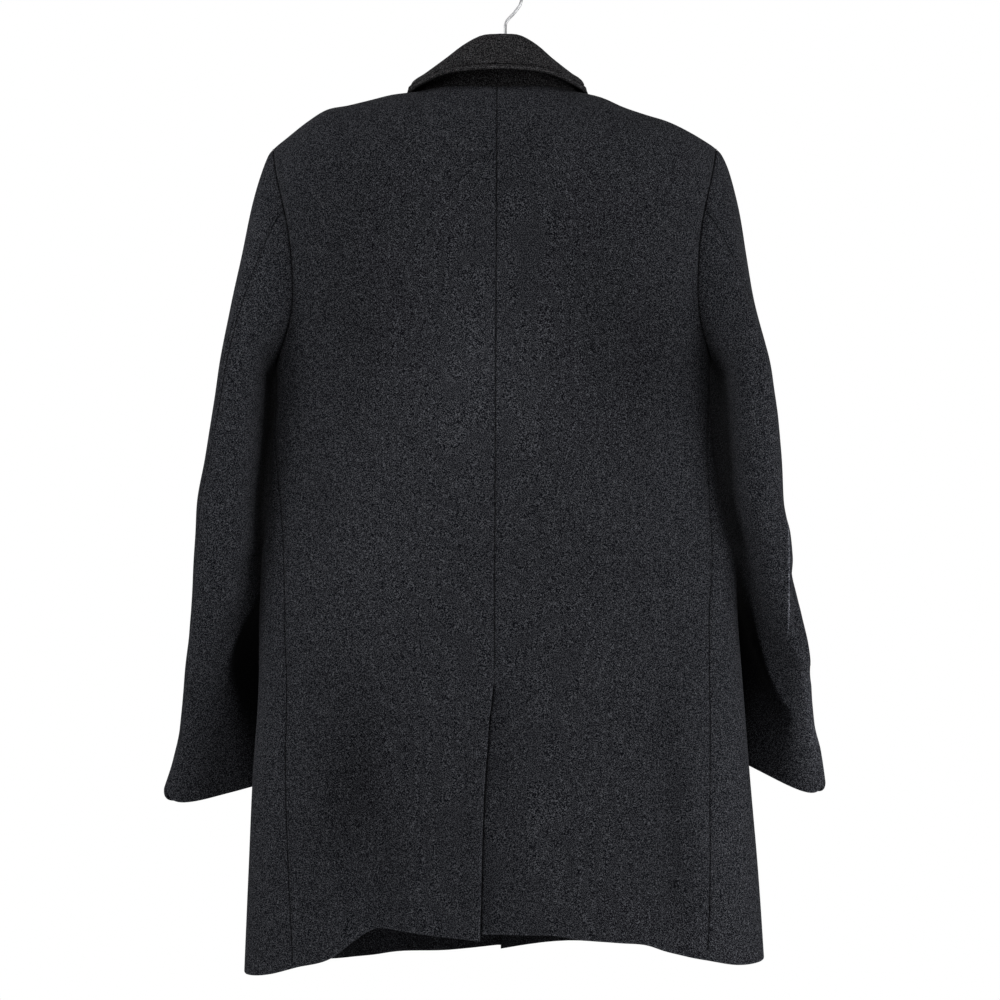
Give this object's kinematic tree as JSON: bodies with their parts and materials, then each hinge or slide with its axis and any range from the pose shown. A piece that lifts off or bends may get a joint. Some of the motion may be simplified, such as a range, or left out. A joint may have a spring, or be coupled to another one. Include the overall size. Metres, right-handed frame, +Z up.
{
  "type": "car coat on a hanger",
  "caption": "Straight single-breasted wool car coat with a turned-down collar and a back vent, hanging with its sleeves straight on a contoured hanger with a wire hook.",
  "frame": {"origin": "inside top of the hanger's hook, where a rail carries it", "axes": "+Z up, the wearer faces -Y, the wearer's left is +X, and a rail would run along Y"},
  "size_m": [0.7241, 0.1878, 1.0757],
  "materials": {
    "charcoal_wool": "heavy brushed wool, charcoal melange",
    "dark_horn": "dark horn, satin",
    "beech": "clear satin varnish",
    "steel_wire": "bright wire"
  },
  "bodies": {
    "root": {"back_left": "charcoal_wool", "back_right": "charcoal_wool", "front_left": "charcoal_wool", "front_right": "charcoal_wool", "collar": "charcoal_wool", "sleeve_top_left": "charcoal_wool", "sleeve_top_right": "charcoal_wool", "sleeve_under_left": "charcoal_wool", "sleeve_under_right": "charcoal_wool", "button_1": "dark_horn", "button_2": "dark_horn", "button_3": "dark_horn", "button_4": "dark_horn", "hanger_body": "beech", "hanger_hook": "steel_wire"}
  },
  "joints": []
}
